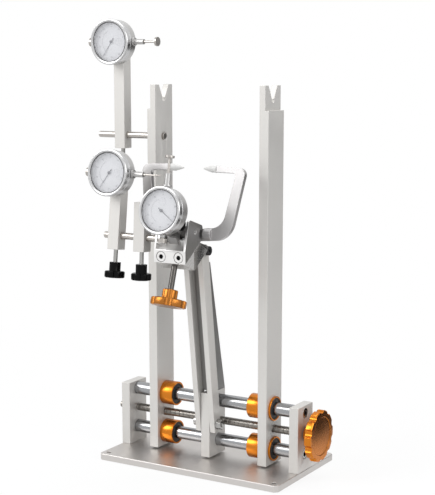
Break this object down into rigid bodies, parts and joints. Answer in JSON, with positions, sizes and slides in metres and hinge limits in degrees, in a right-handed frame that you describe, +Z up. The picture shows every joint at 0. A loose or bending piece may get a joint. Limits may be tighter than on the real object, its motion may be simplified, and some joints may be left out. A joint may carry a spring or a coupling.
{
  "type": "wheel truing stand",
  "caption": "Bench stand that holds a wheel by its axle between self-centring uprights, with a swinging caliper arm and dial gauges that show the run-out.",
  "frame": {"origin": "on the bench under the middle of the guide rods", "axes": "+X along the guide rods towards the star knob, +Y to the back, +Z up"},
  "size_m": [0.3165, 0.2065, 0.5405],
  "materials": {
    "satin_aluminium": "fine bead-blasted, clear anodised",
    "brushed_plate": "brushed, satin",
    "bracket_steel": "bright, finely brushed",
    "dark_aluminium": "dark, blasted",
    "orange_anodised": "orange anodised, satin",
    "gold_anodised": "gold-orange anodised, satin",
    "rod_steel": "ground and polished",
    "screw_steel": "rolled thread, lightly oiled",
    "fastener_steel": "zinc-plated",
    "blackened_steel": "black oxide",
    "bronze": "machined",
    "bearing_seal": "black seals",
    "black_plastic": "moulded, slightly shiny",
    "dial_case": "satin plated",
    "dial_bezel": "polished",
    "pointer_black": "black lacquer",
    "spindle_steel": "ground",
    "tip_plastic": "pale, smooth"
  },
  "bodies": {
    "frame": {"base_plate": "brushed_plate", "block_left": "satin_aluminium", "block_right": "satin_aluminium", "base_screws": "fastener_steel", "rod_upper": "rod_steel", "rod_lower": "rod_steel", "rod_screws": "fastener_steel", "screw_bushes": "bronze", "centre_post": "satin_aluminium", "pivot_bolt": "fastener_steel", "pivot_nut": "fastener_steel"},
    "drive": {"lead_screw": "screw_steel", "drive_knob": "orange_anodised"},
    "upright_right": {"upright_right": "satin_aluminium", "sleeves_right": "orange_anodised", "bearings_right": "bearing_seal", "nut_right": "bronze"},
    "upright_left": {"upright_left": "satin_aluminium", "sleeves_left": "orange_anodised", "bearings_left": "bearing_seal", "nut_left": "bronze"},
    "upper_rod": {"cross_rod_upper": "rod_steel"},
    "upper_bar": {"gauge_bar_upper": "satin_aluminium", "dial_top_case": "dial_case"},
    "upper_clamp": {"clamp_knob_upper": "black_plastic"},
    "top_bezel": {"dial_top_bezel": "dial_bezel"},
    "top_pointer": {"dial_top_pointer": "pointer_black"},
    "top_spindle": {"dial_top_spindle": "spindle_steel"},
    "arm": {"arm_bar_left": "satin_aluminium", "arm_bar_right": "satin_aluminium", "arm_spine": "dark_aluminium", "arm_pins": "fastener_steel", "tilt_bolt": "blackened_steel"},
    "carriage": {"carriage_block": "dark_aluminium", "caliper_bracket": "bracket_steel", "bracket_screws": "fastener_steel", "jaw_carrier": "bracket_steel", "jaw_pins": "fastener_steel", "dial_holder": "dark_aluminium", "dial_centre_case": "dial_case"},
    "adjuster": {"adjust_screw": "screw_steel", "adjust_knob": "gold_anodised"},
    "crosshead": {"crosshead": "dark_aluminium"},
    "jaw_left": {"jaw_left": "satin_aluminium", "jaw_tip_left": "tip_plastic"},
    "jaw_right": {"jaw_right": "satin_aluminium", "jaw_tip_right": "tip_plastic"},
    "holder_clamp": {"holder_knob": "black_plastic"},
    "centre_bezel": {"dial_centre_bezel": "dial_bezel"},
    "centre_pointer": {"dial_centre_pointer": "pointer_black"},
    "centre_spindle": {"dial_centre_spindle": "spindle_steel"},
    "lower_rod": {"cross_rod_lower": "rod_steel"},
    "lower_bar": {"gauge_bar_lower": "satin_aluminium", "dial_side_case": "dial_case"},
    "lower_clamp": {"clamp_knob_lower": "black_plastic"},
    "side_bezel": {"dial_side_bezel": "dial_bezel"},
    "side_pointer": {"dial_side_pointer": "pointer_black"},
    "side_spindle": {"dial_side_spindle": "spindle_steel"},
    "short_bar": {"gauge_bar_short": "satin_aluminium"},
    "short_clamp": {"clamp_knob_short": "black_plastic"}
  },
  "joints": [
    {"name": "drive_spin", "type": "hinge", "parent": "frame", "child": "drive", "pos_m": [0, 0, 0.0535], "axis": [1, 0, 0], "range_deg": [-6120, 4860]},
    {"name": "upright_right_slide", "type": "slide", "parent": "frame", "child": "upright_right", "axis": [1, 0, 0], "range_m": [-0.034, 0.027]},
    {"name": "upright_left_slide", "type": "slide", "parent": "frame", "child": "upright_left", "axis": [1, 0, 0], "range_m": [-0.027, 0.034]},
    {"name": "upper_rod_slide", "type": "slide", "parent": "upright_left", "child": "upper_rod", "axis": [1, 0, 0], "range_m": [-0.008, 0.03]},
    {"name": "upper_bar_swing", "type": "hinge", "parent": "upper_rod", "child": "upper_bar", "pos_m": [-0.1325, 0, 0.4], "axis": [1, 0, 0], "range_deg": [-35, 60]},
    {"name": "upper_clamp_spin", "type": "hinge", "parent": "upper_bar", "child": "upper_clamp", "pos_m": [-0.1325, 0, 0.4], "axis": [0, 0, 1], "range_deg": [-360, 360]},
    {"name": "top_bezel_turn", "type": "hinge", "parent": "upper_bar", "child": "top_bezel", "pos_m": [-0.1325, -0.015, 0.513], "axis": [0, 1, 0], "continuous": true},
    {"name": "top_pointer_turn", "type": "hinge", "parent": "upper_bar", "child": "top_pointer", "pos_m": [-0.1325, -0.015, 0.513], "axis": [0, 1, 0], "range_deg": [-3600, 0]},
    {"name": "top_spindle_slide", "type": "slide", "parent": "upper_bar", "child": "top_spindle", "axis": [1, 0, 0], "range_m": [-0.01, 0], "stiffness_N_per_m": 100, "springref_m": 0.004},
    {"name": "arm_swing", "type": "hinge", "parent": "frame", "child": "arm", "pos_m": [0, -0.015, 0.0525], "axis": [1, 0, 0], "range_deg": [0, 65]},
    {"name": "carriage_tilt", "type": "hinge", "parent": "arm", "child": "carriage", "pos_m": [0, -0.04372, 0.27062], "axis": [1, 0, 0], "range_deg": [-11, 30]},
    {"name": "adjuster_spin", "type": "hinge", "parent": "carriage", "child": "adjuster", "pos_m": [0, -0.08947, 0.25762], "axis": [0, 0.309, 0.9511], "range_deg": [-547.2, 547.2]},
    {"name": "crosshead_slide", "type": "slide", "parent": "carriage", "child": "crosshead", "axis": [0, 0.309, 0.9511], "range_m": [-0.0019, 0.0019]},
    {"name": "jaw_right_swing", "type": "hinge", "parent": "carriage", "child": "jaw_right", "pos_m": [0.014, -0.0638, 0.29134], "axis": [0, 0.9833, -0.1822], "range_deg": [-7.72, 7.72]},
    {"name": "jaw_left_swing", "type": "hinge", "parent": "carriage", "child": "jaw_left", "pos_m": [-0.014, -0.0638, 0.29134], "axis": [0, 0.9833, -0.1822], "range_deg": [-7.72, 7.72]},
    {"name": "holder_clamp_spin", "type": "hinge", "parent": "carriage", "child": "holder_clamp", "pos_m": [0, -0.0955, 0.30686], "axis": [1, 0, 0], "range_deg": [-360, 360]},
    {"name": "centre_bezel_turn", "type": "hinge", "parent": "carriage", "child": "centre_bezel", "pos_m": [0, -0.10935, 0.32265], "axis": [0, 0.9833, -0.1822], "continuous": true},
    {"name": "centre_pointer_turn", "type": "hinge", "parent": "carriage", "child": "centre_pointer", "pos_m": [0, -0.10935, 0.32265], "axis": [0, 0.9833, -0.1822], "range_deg": [-3600, 0]},
    {"name": "centre_spindle_slide", "type": "slide", "parent": "carriage", "child": "centre_spindle", "axis": [0, 0.1822, 0.9833], "range_m": [-0.01, 0], "stiffness_N_per_m": 100, "springref_m": 0.004},
    {"name": "lower_rod_slide", "type": "slide", "parent": "carriage", "child": "lower_rod", "axis": [1, 0, 0], "range_m": [-0.006, 0.003]},
    {"name": "lower_bar_swing", "type": "hinge", "parent": "lower_rod", "child": "lower_bar", "pos_m": [-0.0795, -0.09128, 0.28765], "axis": [1, 0, 0], "range_deg": [-15, 35]},
    {"name": "lower_clamp_spin", "type": "hinge", "parent": "lower_bar", "child": "lower_clamp", "pos_m": [-0.0795, -0.09128, 0.28765], "axis": [0, 0.1219, 0.9925], "range_deg": [-360, 360]},
    {"name": "side_bezel_turn", "type": "hinge", "parent": "lower_bar", "child": "side_bezel", "pos_m": [-0.0795, -0.09733, 0.36144], "axis": [0, 0.9925, -0.1219], "continuous": true},
    {"name": "side_pointer_turn", "type": "hinge", "parent": "lower_bar", "child": "side_pointer", "pos_m": [-0.0795, -0.09733, 0.36144], "axis": [0, 0.9925, -0.1219], "range_deg": [-3600, 0]},
    {"name": "side_spindle_slide", "type": "slide", "parent": "lower_bar", "child": "side_spindle", "axis": [1, 0, 0], "range_m": [-0.01, 0], "stiffness_N_per_m": 100, "springref_m": 0.004},
    {"name": "short_bar_slide", "type": "slide", "parent": "lower_rod", "child": "short_bar", "axis": [1, 0, 0], "range_m": [-0.0115, 0.011]},
    {"name": "short_clamp_spin", "type": "hinge", "parent": "short_bar", "child": "short_clamp", "pos_m": [-0.0435, -0.09128, 0.28765], "axis": [0, 0.061, 0.9981], "range_deg": [-360, 360]}
  ],
  "couplings": [
    {"joint": "upright_right_slide", "follows": "drive_spin", "m_per_rad": 0.00031831},
    {"joint": "upright_left_slide", "follows": "drive_spin", "m_per_rad": -0.00031831},
    {"joint": "crosshead_slide", "follows": "adjuster_spin", "m_per_rad": 0.00019894},
    {"joint": "jaw_right_swing", "follows": "adjuster_spin", "ratio": 0.014089},
    {"joint": "jaw_left_swing", "follows": "adjuster_spin", "ratio": -0.014089},
    {"joint": "top_pointer_turn", "follows": "top_spindle_slide", "rad_per_m": 6283.2},
    {"joint": "side_pointer_turn", "follows": "side_spindle_slide", "rad_per_m": 6283.2},
    {"joint": "centre_pointer_turn", "follows": "centre_spindle_slide", "rad_per_m": 6283.2}
  ]
}
